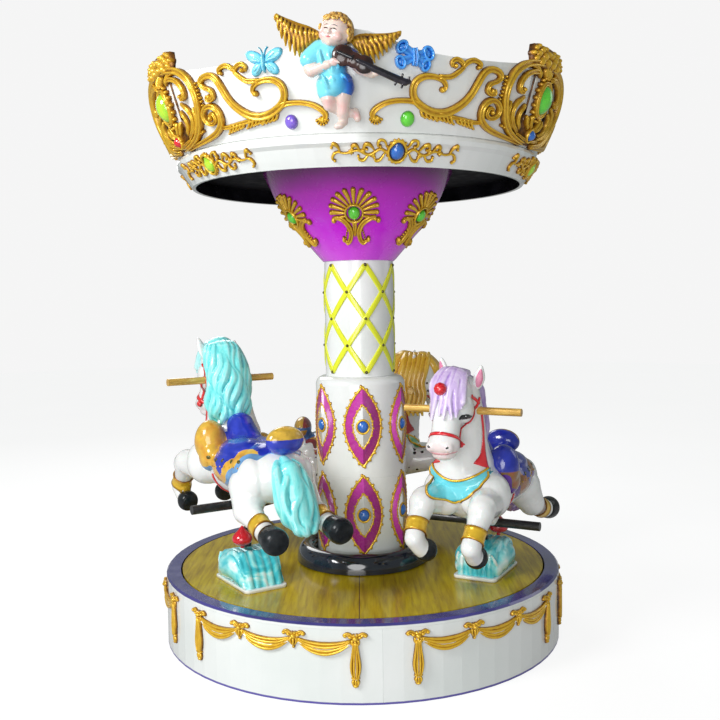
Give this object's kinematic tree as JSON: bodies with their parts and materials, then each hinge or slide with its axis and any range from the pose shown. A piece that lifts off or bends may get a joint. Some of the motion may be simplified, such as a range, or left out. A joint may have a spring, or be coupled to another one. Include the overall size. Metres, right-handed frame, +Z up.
{
  "type": "fairground carousel",
  "caption": "Small coin-ride carousel: turning deck, painted column and crowned canopy, with galloping horses that rise and fall.",
  "frame": {"origin": "centre of the base on the ground", "axes": "+Z up; -Y is the front, seen in the picture; +X to the right of that view"},
  "size_m": [1.4532, 1.5021, 1.9571],
  "materials": {
    "white_gelcoat": "glossy white gelcoat",
    "rim_blue": "glossy violet blue",
    "deck_wood": "varnished wood grain",
    "black_gloss": "glossy black",
    "steel": "satin black",
    "magenta_gelcoat": "glossy magenta",
    "ceiling_dark": "dark satin",
    "antique_gold": "antique gold paint",
    "cherub_paint": "painted resin",
    "wave_cyan": "glossy cyan and white",
    "cap_red": "glossy red",
    "horse_white": "glossy white gelcoat",
    "saddle_blue": "glossy painted saddle",
    "bar_gold": "gold-painted tube"
  },
  "bodies": {
    "base": {"base_plate": "steel", "base_hub": "steel", "skirt_panel_1": "white_gelcoat", "skirt_panel_2": "white_gelcoat", "skirt_panel_3": "white_gelcoat", "skirt_panel_4": "white_gelcoat", "skirt_panel_5": "white_gelcoat", "skirt_panel_6": "white_gelcoat", "deck_rim": "rim_blue"},
    "turntable": {"deck": "deck_wood", "column_foot_ring": "black_gloss", "lower_column": "white_gelcoat", "upper_column": "white_gelcoat", "capital": "magenta_gelcoat", "canopy_ceiling": "ceiling_dark", "canopy_band_1": "white_gelcoat", "canopy_band_2": "white_gelcoat", "canopy_band_3": "white_gelcoat", "crown_panel_1": "white_gelcoat", "crown_panel_2": "white_gelcoat", "crown_panel_3": "white_gelcoat", "cartouche_1": "antique_gold", "cartouche_2": "antique_gold", "cartouche_3": "antique_gold", "cherub_1": "cherub_paint", "cherub_2": "cherub_paint", "cherub_3": "cherub_paint", "wave_pedestal_1": "wave_cyan", "wave_pedestal_2": "wave_cyan", "wave_pedestal_3": "wave_cyan", "red_cap_1": "cap_red", "red_cap_2": "cap_red", "red_cap_3": "cap_red"},
    "horse_body_1": {"horse_1": "horse_white", "saddle_1": "saddle_blue", "horse_mount_1": "steel", "handle_bar_1": "bar_gold"},
    "horse_body_2": {"horse_2": "horse_white", "saddle_2": "saddle_blue", "horse_mount_2": "steel", "handle_bar_2": "bar_gold"},
    "horse_body_3": {"horse_3": "horse_white", "saddle_3": "saddle_blue", "horse_mount_3": "steel", "handle_bar_3": "bar_gold"}
  },
  "joints": [
    {"name": "turntable_spin", "type": "hinge", "parent": "base", "child": "turntable", "pos_m": [0, 0, 0.24], "axis": [0, 0, 1], "continuous": true},
    {"name": "horse_1_rise", "type": "slide", "parent": "turntable", "child": "horse_body_1", "axis": [0, 0, 1], "range_m": [-0.0855, 0]},
    {"name": "horse_2_rise", "type": "slide", "parent": "turntable", "child": "horse_body_2", "axis": [0, 0, 1], "range_m": [0, 0.0855]},
    {"name": "horse_3_rise", "type": "slide", "parent": "turntable", "child": "horse_body_3", "axis": [0, 0, 1], "range_m": [0, 0.0855]}
  ]
}
